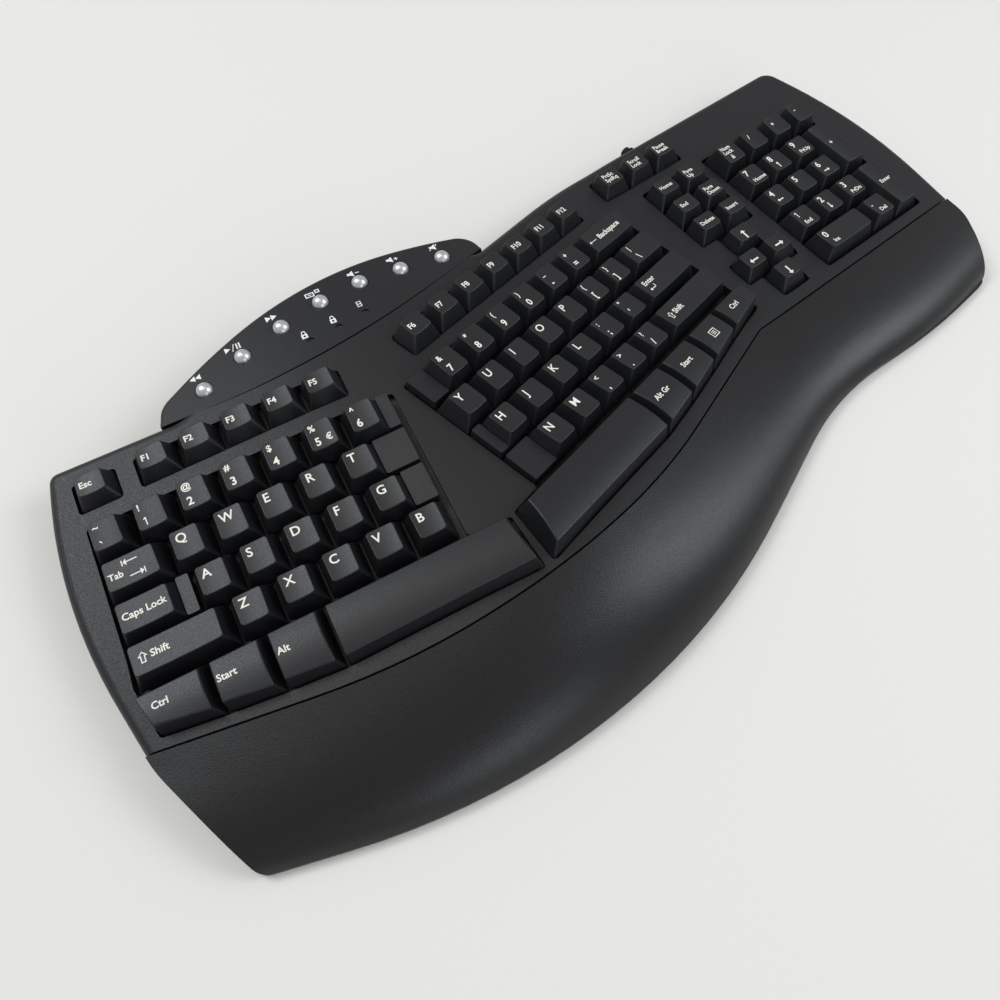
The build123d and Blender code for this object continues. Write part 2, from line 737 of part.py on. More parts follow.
def stepped_cap(rise, tilt, place, edge_share):
    """Letter cap whose low shelf reaches out to the edge of the well."""
    edge = key_pitch * (edge_share - place[0])
    half = unit_width(1) / 2
    shelf = (half - overrun, edge) if edge > 0 else (edge, overrun - half)
    return key_cap(unit_width(1), unit_width(1), rise, tilt, cap_flare, shelf=shelf)


def bottom_outline(rim, first, left_back_share, right_back_share):
    """Base of a bottom-row cap between two key boundaries, drawn in by its gaps."""
    (x0, y0), (x1, y1) = pitched(rim[first:first + 2])
    back = key_pitch * bottom_back_share - bar_gap
    left, right = key_pitch * left_back_share, key_pitch * right_back_share
    front = [(x0 + bar_gap, y0 + bar_front_gap), (x1 - bar_gap, y1 + bar_front_gap)]
    return [(left + bar_gap, back)] + front + [(right - bar_gap, back)]


def write_bottom_row(names, block, rim, left_back_share, right_back_share, insets):
    """One node for each cap of a bottom row; the longest is the space bar."""
    backs = [left_back_share] + [x for x, y in rim[1:-1]] + [right_back_share]
    places = []
    for first, name in enumerate(names):
        outline = bottom_outline(rim, first, backs[first], backs[first + 1])
        middle_x = (outline[1][0] + outline[2][0]) / 2
        middle_y = (outline[0][1] + outline[1][1]) / 2
        stems = [(middle_x, middle_y)]
        if name.startswith("space"):
            stems += [(middle_x - space_post, middle_y), (middle_x + space_post, middle_y)]
        with BuildPart(block) as keys:
            add(bar_cap(outline, bar_rise, stems, insets))
        finish(keys, name)
        places.append(stems)
    return places


def write_mixed(name, block, groups):
    """One node of caps of several shapes: each group is a cap with its places."""
    with BuildPart(block) as keys:
        for cap, places in groups:
            with Locations(*pitched(places)):
                add(cap)
    finish(keys, name)


six_cap = stepped_cap(number_rise, number_tilt, six_share, left_step_share)
t_cap = stepped_cap(qwer_rise, qwer_tilt, letter_t_share, left_step_share)
g_cap = stepped_cap(asdf_rise, asdf_tilt, letter_g_share, left_step_share)
tab_cap = key_cap(unit_width(tab_width_share), unit_width(1), qwer_rise, qwer_tilt, cap_flare)
shift_cap = key_cap(unit_width(shift_width_share), unit_width(1), zxcv_rise, zxcv_tilt, cap_flare)
caps_reach = unit_width(caps_body_share) / 2 + key_pitch * (caps_width_share - caps_body_share)
caps_cap = key_cap(
    unit_width(caps_body_share), unit_width(1), asdf_rise, asdf_tilt, cap_flare,
    shelf=(unit_width(caps_body_share) / 2 - overrun, caps_reach),
)

write_mixed("keys_number_left", left_block, [(number_cap, number_left_shares), (six_cap, [six_share])])
write_mixed("keys_qwert", left_block, [(qwer_cap, qwer_shares), (t_cap, [letter_t_share])])
write_mixed("keys_asdfg", left_block, [(asdf_cap, asdf_shares), (g_cap, [letter_g_share])])
write_caps("keys_zxcvb", left_block, zxcvb_shares, zxcv_cap)
write_caps("key_esc", left_block, [escape_share], function_cap)
write_caps("keys_f1_f5", left_block, f1_f5_shares, function_cap)
write_caps("key_tab", left_block, [tab_share], tab_cap)
write_caps("key_caps_lock", left_block, [caps_body_place_share], caps_cap)
write_caps("key_shift_left", left_block, [shift_left_share], shift_cap)
left_bottom = write_bottom_row(
    ("key_ctrl_left", "key_start_left", "key_alt_left", "space_bar_left"),
    left_block, left_rim_shares, ctrl_left_back_share, space_left_back_share, (bar_outer_inset, bar_inset),
)

# Keys of the right block
seven_cap = stepped_cap(number_rise, number_tilt, seven_share, right_step_share)
h_cap = stepped_cap(asdf_rise, asdf_tilt, letter_h_share, right_step_share)
n_cap = stepped_cap(zxcv_rise, zxcv_tilt, letter_n_share, right_step_share)
backslash_cap = key_cap(unit_width(backslash_width_share), unit_width(1), qwer_rise, qwer_tilt, cap_flare)
backspace_cap = key_cap(unit_width(backspace_width_share), unit_width(1), number_rise, number_tilt, cap_flare)
enter_cap = key_cap(unit_width(enter_width_share), unit_width(1), asdf_rise, asdf_tilt, cap_flare)
right_shift_cap = key_cap(unit_width(right_shift_width_share), unit_width(1), zxcv_rise, zxcv_tilt, cap_flare)

write_mixed("keys_number_right", right_block, [(number_cap, number_right_shares), (seven_cap, [seven_share])])
write_mixed("keys_yuiop", right_block, [(qwer_cap, yuiop_shares), (backslash_cap, [backslash_share])])
write_mixed("keys_hjkl", right_block, [(asdf_cap, jkl_shares), (h_cap, [letter_h_share])])
write_mixed("keys_nm", right_block, [(zxcv_cap, nm_shares), (n_cap, [letter_n_share])])
write_caps("keys_f6_f12", right_block, f6_f12_shares, function_cap)
write_caps("key_backspace", right_block, [backspace_share], backspace_cap)
write_caps("key_enter", right_block, [enter_share], enter_cap)
write_caps("key_shift_right", right_block, [shift_right_share], right_shift_cap)
right_bottom = write_bottom_row(
    ("space_bar_right", "key_alt_gr", "key_start_right", "key_menu", "key_ctrl_right"),
    right_block, right_rim_shares, space_right_back_share, ctrl_right_back_share, (bar_inset, bar_outer_inset),
)

# Keys of the numpad side
system_cap = key_cap(unit_width(1), small_depth, system_rise, system_tilt, small_flare, small_shift)
navigation_cap = key_cap(unit_width(1), small_depth, asdf_rise, asdf_tilt, small_flare, small_shift)
pad_number_cap = key_cap(unit_width(1), unit_width(1), pad_number_rise, number_tilt, cap_flare)
point_cap = key_cap(unit_width(1), unit_width(1), pad_zero_rise, zxcv_tilt, cap_flare)
zero_cap = key_cap(unit_width(2), unit_width(1), pad_zero_rise, zxcv_tilt, cap_flare)
tall_cap = key_cap(unit_width(1), unit_width(2), asdf_rise, asdf_tilt, cap_flare)

write_caps("keys_system", pad_block, system_shares, system_cap)
write_caps("keys_navigation", pad_block, navigation_shares, navigation_cap)
write_caps("keys_arrows", pad_block, arrow_shares, navigation_cap)
write_caps("keys_numpad_operators", pad_block, operator_shares, pad_number_cap)
write_mixed(
    "keys_numpad_digits", pad_block, [(asdf_cap, digit_shares), (point_cap, [point_share])],
)
write_caps("key_numpad_zero", pad_block, [zero_share], zero_cap)
write_caps("key_numpad_plus", pad_block, [plus_share], tall_cap)
write_caps("key_numpad_enter", pad_block, [pad_enter_share], tall_cap)

# Stem places, block by block
left_single = number_left_shares + [six_share] + qwer_shares + [letter_t_share] + asdf_shares + [letter_g_share]
left_single += zxcvb_shares + [escape_share] + f1_f5_shares + [tab_share, caps_body_place_share, shift_left_share]
right_single = number_right_shares + [seven_share] + yuiop_shares + [backslash_share] + jkl_shares + [letter_h_share]
right_single += nm_shares + [letter_n_share] + f6_f12_shares + [backspace_share, enter_share, shift_right_share]
pad_single = system_shares + navigation_shares + arrow_shares + operator_shares + digit_shares
pad_single += [point_share, zero_share, plus_share, pad_enter_share]
left_domes = pitched(left_single) + [stems[0] for stems in left_bottom]
right_domes = pitched(right_single) + [stems[0] for stems in right_bottom]
left_stems = pitched(left_single) + [stem for stems in left_bottom for stem in stems]
right_stems = pitched(right_single) + [stem for stems in right_bottom for stem in stems]
pad_stems = pitched(pad_single)

# Media buttons: silver domes with a flange under the panel and a stem to the switch
media_button_names = (
    "media_button_previous", "media_button_play", "media_button_next", "media_button_window",
    "media_button_volume_down", "media_button_volume_up", "media_button_mute",
)
for name, place in zip(media_button_names, media_button_shares):
    frame = panel_frame(place)
    switch_top = media_board_height + board_plate + switch_height
    stem_length = (frame.origin.Z - switch_top) / frame.z_dir.Z - button_travel - fit_gap
    flange_top = wall + slide_gap
    with BuildPart() as media_button:
        with BuildSketch(frame.offset(-flange_top)):
            Circle(button_radius)
        extrude(amount=flange_top)
        with BuildSketch(Plane(origin=frame.origin, x_dir=frame.x_dir, z_dir=-frame.y_dir)):
            with BuildLine():
                Line((0, 0), (button_radius, 0))
                RadiusArc((button_radius, 0), (0, button_rise), -dome_arc_radius)
                Line((0, button_rise), (0, 0))
            make_face()
        revolve(axis=Axis(frame.origin, frame.z_dir))
        with BuildSketch(frame.offset(-flange_top)):
            Circle(button_radius + button_flange)
        extrude(amount=-button_flange)
        with BuildSketch(frame.offset(-flange_top)):
            Circle(button_stem_radius)
        extrude(amount=flange_top - stem_length)
    finish(media_button, name)


def deck_region(inset, gap, floor, height=case_depth):
    """Upright block over the top case, drawn in by inset, with a gap along the groove and the seam."""
    return deck_prism(prism(body_outline, -inset, floor, height), inset + gap)


def lip_ring(region, form):
    """Locating lip that stands inside a casing's wall, kept within its form."""
    inset = wall + fit_gap
    with BuildPart() as ring:
        add(region(inset, groove / 2, parting - overrun, overrun + lip_rise))
        add(region(inset + lip_wall, groove / 2, parting - 2 * overrun, lip_rise + 4 * overrun), mode=Mode.SUBTRACT)
        add(form, mode=Mode.INTERSECT)
    return ring.part


def stack_ribs(block, places):
    """Ribs that carry a block's membrane, from the floor plate up."""
    with BuildPart() as ribs:
        with BuildSketch(block.offset(-stack_depth)):
            with Locations(*pitched(places)):
                Rectangle(rib_width, rib_length)
        extrude(amount=-case_depth)
        with BuildSketch(desk.offset(parting - overrun)):
            Rectangle(2 * reach, 2 * reach)
        extrude(amount=-reach, mode=Mode.SUBTRACT)
    return ribs.part


def foot_plane(place, rise=0):
    """Level plane at a folding foot, raised from the underside of the case."""
    x, y = scaled([place])[0]
    return Plane((home_x + x, home_y + y, case_floor + rise))


def foot_axis_plane(place):
    """Upright plane across a folding foot, centred on its hinge."""
    x, y = scaled([place])[0]
    hinge = foot_length / 2 - foot_round
    return Plane(origin=(home_x + x, home_y + y + hinge, case_floor + foot_drop), x_dir=(0, 1, 0), z_dir=(1, 0, 0))


def folding_foot(place):
    """Flat foot with a rounded hinge end, two pins and a ribbed sole."""
    with BuildPart() as foot:
        with BuildSketch(foot_axis_plane(place)):
            with BuildLine():
                Polyline(
                    (0, foot_round),
                    (foot_round - foot_length, foot_round - foot_slope),
                    (foot_round - foot_length, -foot_round),
                    (0, -foot_round),
                )
                RadiusArc((0, -foot_round), (0, foot_round), -foot_round)
            make_face()
        extrude(amount=foot_width / 2, both=True)
        fillet(foot.edges().filter_by(Axis.Z), foot_slope)
        with BuildSketch(foot_axis_plane(place)):
            Circle(foot_pin_radius)
        extrude(amount=foot_width / 2 + foot_gap + pocket_wall - pin_cover, both=True)
    return foot.part


# Bottom case: floor plate with locating lips, screw pads, ribs under the membranes and foot pockets
every_screw_shares = deck_screw_shares + palm_screw_shares + panel_screw_shares
rib_sets = ((left_block, left_rib_shares), (right_block, right_rib_shares), (pad_block, pad_rib_shares))

with BuildPart() as bottom_case:
    add(deck_region(0, 0, case_floor, plate))
    add(palm_region(0, 0, case_floor, plate))
    add(panel_region(0, 0, case_floor, plate))
    add(lip_ring(deck_region, crown_form(wall + fit_gap)))
    add(lip_ring(palm_region, palm_form(wall + fit_gap, 0)))
    add(lip_ring(panel_region, crown_form(panel_drop + wall + fit_gap, panel_plane)))
    add(posts(every_screw_shares, boss_pad_radius, parting - overrun, boss_seat - parting + overrun))
    for block, places in rib_sets:
        add(stack_ribs(block, places))
    add(posts(board_post_shares, board_post_radius, parting - overrun, board_height - parting + overrun))
    add(posts(media_post_shares, board_post_radius, parting - overrun, media_board_height - parting + overrun))
    for place in foot_shares:
        with BuildSketch(foot_plane(place)):
            Rectangle(foot_width + 2 * foot_gap + 2 * pocket_wall, foot_length + 2 * foot_gap + 2 * pocket_wall)
        extrude(amount=pocket_depth + pocket_wall)
    for place in foot_shares:
        with BuildSketch(foot_plane(place)):
            Rectangle(foot_width + 2 * foot_gap, foot_length + 2 * foot_gap)
        extrude(amount=pocket_depth, mode=Mode.SUBTRACT)
        with BuildSketch(foot_axis_plane(place)):
            Circle(foot_pin_radius + slide_gap)
        extrude(amount=foot_width / 2 + foot_gap + pocket_wall - pin_cover / 2, both=True, mode=Mode.SUBTRACT)
    add(posts(every_screw_shares, screw_radius + screw_gap, 0, boss_seat + overrun), mode=Mode.SUBTRACT)
    add(posts(every_screw_shares, screw_head_radius + fit_gap, 0, case_floor + screw_recess), mode=Mode.SUBTRACT)
finish(bottom_case, "bottom_case")

# Case screws, rubber feet and folding feet
with BuildPart() as case_screws:
    with BuildSketch(desk.offset(case_floor + screw_recess)):
        with Locations(*scaled(every_screw_shares)):
            Circle(screw_head_radius)
    extrude(amount=-screw_head)
    with BuildSketch(desk.offset(case_floor + screw_recess)):
        with Locations(*scaled(every_screw_shares)):
            Circle(screw_radius - screw_gap)
    extrude(amount=screw_length)
    with BuildSketch(desk.offset(case_floor + screw_recess - screw_head)):
        with Locations(*scaled(every_screw_shares)):
            Rectangle(screw_head_radius, screw_slot)
            Rectangle(screw_slot, screw_head_radius)
    extrude(amount=screw_slot, mode=Mode.SUBTRACT)
finish(case_screws, "case_screws")

with BuildPart() as rubber_feet:
    with BuildSketch(desk):
        with Locations(*scaled(rubber_foot_shares)):
            RectangleRounded(rubber_foot_width, rubber_foot_length, rubber_foot_length / 2 - foot_gap)
    extrude(amount=case_floor)
finish(rubber_feet, "rubber_feet")

for name, place in zip(("flip_foot_left", "flip_foot_right"), foot_shares):
    with BuildPart() as flip_foot:
        add(folding_foot(place))
    finish(flip_foot, name)


# Stack under each block: frame with guide barrels, rubber domes and contact membrane
def cleared(block, wells, growth, depth, thickness, space):
    """Plate on a block's plane under its wells, kept inside the case and clear of the screw posts."""
    with BuildPart() as sheet:
        extrude(well_sketch(block.offset(-depth), wells, growth), amount=-thickness)
        add(space, mode=Mode.INTERSECT)
        add(posts(deck_screw_shares, boss_pad_radius + fit_gap, 0, case_depth), mode=Mode.SUBTRACT)
    return sheet.part


def stack_room(left_shares, right_shares):
    """Inside space of the case between two upright boundaries, for one block's stack."""
    right_edge = [(x - fit_gap, y) for x, y in scaled(right_shares)]
    with BuildPart() as room:
        with BuildSketch(desk):
            Polygon(*scaled(left_shares), *right_edge[::-1], align=None)
        extrude(amount=case_depth)
        add(stack_space, mode=Mode.INTERSECT)
    return room.part


def key_frame(block, wells, stems, space):
    """Frame plate with a skirt below and one guide barrel for each stem."""
    skirt = sheet_depth - frame_depth
    hollow_depth = frame_depth + frame_plate
    with BuildPart() as frame:
        add(cleared(block, wells, frame_margin, frame_depth, skirt, space))
        add(cleared(block, wells, frame_margin - wall, hollow_depth, skirt, space), mode=Mode.SUBTRACT)
        with BuildSketch(block.offset(-frame_depth - frame_plate)):
            with Locations(*stems):
                Circle(stem_radius + slide_gap + barrel_wall)
        extrude(amount=frame_plate + barrel_rise)
        with BuildSketch(block.offset(-frame_depth - frame_plate - overrun)):
            with Locations(*stems):
                Circle(stem_radius + slide_gap)
        extrude(amount=frame_plate + barrel_rise + 2 * overrun, mode=Mode.SUBTRACT)
    return frame.part


with BuildPart() as rubber_dome:
    with BuildSketch(Plane.XZ):
        with BuildLine():
            Polyline(
                (dome_radius - sheet_plate, 0),
                (dome_radius, 0),
                (dome_radius, sheet_plate),
                (dome_top_radius, sheet_plate + dome_height),
                (0, sheet_plate + dome_height),
                (0, dome_height),
                (dome_top_radius - sheet_plate / 2, dome_height),
                (dome_radius - sheet_plate, 0),
            )
        make_face()
    revolve(axis=Axis.Z)


def dome_sheet(block, wells, stems, space):
    """Rubber sheet with a dome under each stem."""
    underside = block.offset(-sheet_depth - sheet_plate)
    with BuildPart(underside) as domes:
        with Locations(*stems):
            add(rubber_dome.part)
    with BuildPart() as sheet:
        add(cleared(block, wells, frame_margin, sheet_depth, sheet_plate, space))
        with BuildSketch(underside):
            with Locations(*stems):
                Circle(dome_radius - sheet_plate / 2)
        extrude(amount=sheet_plate, mode=Mode.SUBTRACT)
        add(domes.part)
    return sheet.part


stack_space = cavity(wall + fit_gap, wall + lip_wall + 3 * fit_gap, parting + overrun)
left_room = stack_room([(-1, -1), (-1, 1)], ridge_gap_shares)
right_room = stack_room(ridge_gap_shares, valley_gap_shares)
pad_room = stack_room(valley_gap_shares, [(1, -1), (1, 1)])
stacks = (
    ("left", left_block, left_wells, left_stems, left_domes, left_room),
    ("right", right_block, right_wells, right_stems, right_domes, right_room),
    ("numpad", pad_block, pad_wells, pad_stems, pad_stems, pad_room),
)
for side, block, wells, stems, domes, room in stacks:
    with BuildPart() as frame_part:
        add(key_frame(block, wells, stems, room))
    finish(frame_part, f"key_frame_{side}")
    with BuildPart() as dome_part:
        add(dome_sheet(block, wells, domes, room))
    finish(dome_part, f"dome_sheet_{side}")

with BuildPart() as contact_membrane:
    for side, block, wells, stems, domes, room in stacks:
        add(cleared(block, wells, frame_margin, sheet_depth + sheet_plate, membrane_plate, room))
finish(contact_membrane, "contact_membrane")

# Boards: controller under the ridge, switches and lamps under the media panel
with BuildPart() as controller_board:
    board_plane = desk.offset(board_height)
    with BuildSketch(board_plane):
        with Locations(*scaled([board_share])):
            Rectangle(board_width, board_depth)
    extrude(amount=board_plate)
    with BuildSketch(board_plane.offset(board_plate)):
        with Locations(*scaled([board_share])):
            Rectangle(chip_size, chip_size)
            with Locations((-board_width / 3, 0), (board_width / 3, 0)):
                Rectangle(connector_width, connector_depth)
            with Locations((0, board_depth / 3)):
                Rectangle(connector_width, connector_depth)
    extrude(amount=chip_height)
finish(controller_board, "controller_board")

media_board_plane = desk.offset(media_board_height)
with BuildPart() as media_switch_board:
    add(panel_region(wall + lip_wall + 2 * fit_gap, groove / 2, media_board_height, board_plate))
    add(posts(panel_screw_shares, boss_radius + fit_gap, 0, case_depth), mode=Mode.SUBTRACT)
    with BuildSketch(media_board_plane.offset(board_plate)):
        with Locations(*scaled(media_button_shares)):
            Rectangle(switch_size, switch_size)
    extrude(amount=switch_height)
    with BuildSketch(media_board_plane.offset(board_plate)):
        with Locations(*scaled(lens_shares)):
            Circle(lens_radius)
    extrude(amount=lamp_height)
finish(media_switch_board, "media_switch_board")

with BuildPart() as indicator_lenses:
    for place in lens_shares:
        frame = panel_frame(place)
        length = (frame.origin.Z - media_board_height - board_plate - lamp_height) / frame.z_dir.Z - fit_gap
        with BuildSketch(frame.offset(-lens_sink)):
            Circle(lens_radius)
        extrude(amount=lens_sink - length)
        with BuildSketch(frame.offset(-wall - slide_gap)):
            Circle(lens_radius + overrun)
        extrude(amount=-overrun)
finish(indicator_lenses, "indicator_lenses")

# Cord gland: flanged sleeve in a hole of the rear wall
with BuildPart() as cable_gland:
    with BuildSketch(gland_plane.offset(-wall - gland_flange)):
        Circle(gland_radius + gland_flange)
    extrude(amount=gland_flange - slide_gap)
    with BuildSketch(gland_plane.offset(-wall - gland_flange)):
        Circle(gland_radius - slide_gap)
    extrude(amount=wall + 2 * gland_flange + gland_reach)
    with BuildSketch(gland_plane.offset(slide_gap)):
        Circle(gland_radius + gland_flange)
    extrude(amount=gland_flange)
    with BuildSketch(gland_plane.offset(-wall - gland_flange - overrun)):
        Circle(cord_radius)
    extrude(amount=reach, mode=Mode.SUBTRACT)
finish(cable_gland, "cable_gland")
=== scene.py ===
import bpy
import json
from math import cos, pi, radians, sin
from mathutils import Matrix, Vector
from mathutils.bvhtree import BVHTree


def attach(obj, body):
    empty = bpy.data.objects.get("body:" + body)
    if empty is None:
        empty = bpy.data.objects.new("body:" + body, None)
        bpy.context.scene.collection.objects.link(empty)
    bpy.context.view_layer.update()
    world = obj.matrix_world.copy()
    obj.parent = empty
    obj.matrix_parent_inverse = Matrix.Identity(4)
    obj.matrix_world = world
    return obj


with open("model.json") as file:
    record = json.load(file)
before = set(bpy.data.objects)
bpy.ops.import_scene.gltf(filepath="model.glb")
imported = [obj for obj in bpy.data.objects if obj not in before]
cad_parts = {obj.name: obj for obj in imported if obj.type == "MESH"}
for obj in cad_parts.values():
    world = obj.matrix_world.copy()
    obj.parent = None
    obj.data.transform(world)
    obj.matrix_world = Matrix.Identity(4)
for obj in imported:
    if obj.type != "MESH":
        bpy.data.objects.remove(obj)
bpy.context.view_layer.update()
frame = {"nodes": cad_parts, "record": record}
nodes = frame["nodes"]
mm = 0.001
home = Vector((-83.4, 18.5, 0))  # on the desk under the ridge, in mm
pitch = 19.05
print("frame loaded", len(nodes), "nodes")


# places on the key blocks
def blockMatrix(x, y, height, yaw, sideSlope, rearSlope):
    across = Vector((cos(radians(yaw)), sin(radians(yaw)), 0))
    across.z = sideSlope * across.x + rearSlope * across.y
    across.normalize()
    up = Vector((-sideSlope, -rearSlope, 1)).normalized()
    back = up.cross(across)
    place = Matrix((across, back, up)).transposed().to_4x4()
    place.translation = Vector((home.x + x, home.y + y, height)) * mm
    return place


blocks = {
    "left": blockMatrix(-75.35, 0, 36.3, -12.01, 0.1162, 0.0112),
    "right": blockMatrix(75.35, 0.4, 36.3, 12.01, -0.1162, 0.0112),
    "pad": blockMatrix(261.5, 10.75, 24.7, 0, 0.0115, 0.0235),
}


# shader helper
class Sock:
    def __init__(self, tree, socket):
        self.tree, self.socket = tree, socket

    def link(self, target):
        self.tree.links.new(self.socket, target)

    def math(self, operation, other, swap=False):
        pair = (other, self) if swap else (self, other)
        return Shader(self.tree).node("ShaderNodeMath", {"operation": operation}, *pair)

    def __add__(self, other):
        return self.math("ADD", other)

    __radd__ = __add__

    def __mul__(self, other):
        return self.math("MULTIPLY", other)

    __rmul__ = __mul__

    def __sub__(self, other):
        return self.math("SUBTRACT", other)

    def __rsub__(self, other):
        return self.math("SUBTRACT", other, swap=True)

    def clamp(self, low, high):
        return self.math("MAXIMUM", low).math("MINIMUM", high)


class Shader:
    def __init__(self, tree):
        self.tree = tree

    def node(self, kind, settings=None, *values, output=0, **named):
        made = self.tree.nodes.new(kind)
        for key, value in (settings or {}).items():
            setattr(made, key, value)
        for key, value in list(enumerate(values)) + list(named.items()):
            if isinstance(value, Sock):
                value.link(made.inputs[key])
            else:
                made.inputs[key].default_value = value
        return Sock(self.tree, made.outputs[output])

    def mix(self, share, first, second):
        made = self.tree.nodes.new("ShaderNodeMix")
        made.data_type = "RGBA"
        for socket, value in ((made.inputs[0], share), (made.inputs[6], first), (made.inputs[7], second)):
            if isinstance(value, Sock):
                value.link(socket)
            else:
                socket.default_value = value
        return Sock(self.tree, made.outputs[2])


def rgb(value):
    return (*value, 1)


# materials
shadeSpan = 0.22  # how far the colour drifts to each side of its look


def finish(name, look):
    material = bpy.data.materials.new(name)
    material.use_nodes = True
    tree = material.node_tree
    shader = Shader(tree)
    principled = tree.nodes["Principled BSDF"]
    place = shader.node("ShaderNodeTexCoord", output=3)
    broad = shader.node("ShaderNodeTexNoise", Vector=place, Scale=look["cloud"], Detail=3.0)
    grain = shader.node("ShaderNodeTexNoise", Vector=place, Scale=look["grain"], Detail=2.0)
    shade = (broad - 0.5) * look["cloudShare"] + (grain - 0.5) * look["grainShare"] + 0.5
    dark = [value * (1 - shadeSpan) for value in look["color"]]
    light = [value * (1 + shadeSpan) for value in look["color"]]
    shader.mix(shade.clamp(0.0, 1.0), rgb(dark), rgb(light)).link(principled.inputs["Base Color"])
    rough = (grain - 0.5) * look["roughShare"] + look["roughness"]
    rough.clamp(0.05, 1.0).link(principled.inputs["Roughness"])
    principled.inputs["Specular IOR Level"].default_value = look.get("specular", 0.5)
    if look.get("bump"):
        bump = shader.node("ShaderNodeBump", Strength=look["bump"], Distance=look["bumpDepth"], Height=grain)
        bump.link(principled.inputs["Normal"])
    principled.inputs["Metallic"].default_value = look.get("metal", 0)
    return material


looks = {
    "deck": dict(color=(0.0086, 0.0088, 0.0104), cloud=18.0, cloudShare=0.5, grain=1500.0, grainShare=0.6,
                 roughness=0.46, roughShare=0.35, bump=0.8, bumpDepth=0.00013, specular=0.42),
    "palm": dict(color=(0.0052, 0.0053, 0.0062), cloud=14.0, cloudShare=0.4, grain=1700.0, grainShare=0.5,
                 roughness=0.36, roughShare=0.3, bump=0.7, bumpDepth=0.0001, specular=0.42),
    "keys": dict(color=(0.0092, 0.0096, 0.012), cloud=60.0, cloudShare=0.4, grain=1900.0, grainShare=0.6,
                 roughness=0.42, roughShare=0.3, bump=0.6, bumpDepth=0.00012, specular=0.45),
    "case": dict(color=(0.008, 0.008, 0.009), cloud=20.0, cloudShare=0.4, grain=1500.0, grainShare=0.6,
                 roughness=0.6, roughShare=0.2, bump=0.4, bumpDepth=0.00015),
    "frames": dict(color=(0.009, 0.009, 0.01), cloud=30.0, cloudShare=0.4, grain=1500.0, grainShare=0.3,
                   roughness=0.5, roughShare=0.1),
    "silver": dict(color=(0.66, 0.66, 0.67), cloud=40.0, cloudShare=0.1, grain=3000.0, grainShare=0.1,
                   roughness=0.34, roughShare=0.05, metal=0.85),
    "lens": dict(color=(0.003, 0.003, 0.004), cloud=100.0, cloudShare=0.1, grain=900.0, grainShare=0.1,
                 roughness=0.16, roughShare=0.02, specular=0.8),
    "silicone": dict(color=(0.5, 0.5, 0.46), cloud=40.0, cloudShare=0.3, grain=900.0, grainShare=0.2,
                     roughness=0.55, roughShare=0.1),
    "film": dict(color=(0.5, 0.55, 0.5), cloud=30.0, cloudShare=0.2, grain=600.0, grainShare=0.1,
                 roughness=0.2, roughShare=0.05),
    "board": dict(color=(0.02, 0.11, 0.05), cloud=60.0, cloudShare=0.4, grain=1500.0, grainShare=0.3,
                  roughness=0.35, roughShare=0.1),
    "rubber": dict(color=(0.008, 0.008, 0.008), cloud=40.0, cloudShare=0.3, grain=1500.0, grainShare=0.5,
                   roughness=0.75, roughShare=0.1, bump=0.3, bumpDepth=0.0001, specular=0.3),
    "zinc": dict(color=(0.4, 0.4, 0.41), cloud=300.0, cloudShare=0.3, grain=3000.0, grainShare=0.3,
                 roughness=0.35, roughShare=0.15, metal=1.0),
    "print": dict(color=(0.86, 0.82, 0.73), cloud=300.0, cloudShare=0.15, grain=3000.0, grainShare=0.15,
                  roughness=0.55, roughShare=0.05),
    "panelPrint": dict(color=(0.86, 0.86, 0.86), cloud=300.0, cloudShare=0.15, grain=3000.0, grainShare=0.15,
                       roughness=0.55, roughShare=0.05),
}
materials = {name: finish(name, look) for name, look in looks.items()}
slotLooks = {
    "deck_plastic": "deck", "palm_plastic": "palm", "key_plastic": "keys", "case_plastic": "case",
    "frame_plastic": "frames", "button_silver": "silver", "lens": "lens", "dome_rubber": "silicone",
    "membrane_film": "film", "board": "board", "soft_rubber": "rubber", "screw_steel": "zinc",
}
for part in frame["record"]["subparts"]:
    mesh = nodes[part["node"]].data
    mesh.materials.clear()
    mesh.materials.append(materials[slotLooks[part["material_slot"]]])
print("materials set")


# flat print: words and signs laid on a surface
capShare = 0.682  # height of a capital in Blender's own face, as a share of its size
printLook = dict(rayRise=12, lift=0.05)  # mm: where the rays start, and how proud the print stands


def flatShape(loops):
    curve = bpy.data.curves.new("loops", "CURVE")
    curve.dimensions = "2D"
    curve.fill_mode = "BOTH"
    for loop in loops:
        spline = curve.splines.new("POLY")
        spline.points.add(len(loop) - 1)
        for point, (x, y) in zip(spline.points, loop):
            point.co = (x, y, 0, 1)
        spline.use_cyclic_u = True
    return flatten(curve)


def flatten(curve):
    holder = bpy.data.objects.new("flat", curve)
    bpy.context.scene.collection.objects.link(holder)
    bpy.context.view_layer.update()
    mesh = bpy.data.meshes.new_from_object(holder.evaluated_get(bpy.context.evaluated_depsgraph_get()))
    shape = ([tuple(v.co[:2]) for v in mesh.vertices], [tuple(p.vertices) for p in mesh.polygons])
    bpy.data.objects.remove(holder)
    bpy.data.curves.remove(curve)
    bpy.data.meshes.remove(mesh)
    return shape


def word(text, height, weight):
    curve = bpy.data.curves.new("word", "FONT")
    curve.body = text
    curve.size = height / capShare
    curve.offset = weight * height
    curve.resolution_u = 3
    return flatten(curve)


def circle(x, y, radius, count):
    turns = [2 * pi * i / count for i in range(count)]
    return [(x + radius * cos(turn), y + radius * sin(turn)) for turn in turns]


def box(x0, y0, x1, y1):
    return [(x0, y0), (x1, y0), (x1, y1), (x0, y1)]


def arrow(length, turn, head=0.42, shaft=0.12):
    half = length / 2
    points = [(half, 0), (half - head, head), (half - head, shaft), (-half, shaft), (-half, -shaft),
              (half - head, -shaft), (half - head, -head)]
    c, s = cos(radians(turn)), sin(radians(turn))
    return [(x * c - y * s, x * s + y * c) for x, y in points]


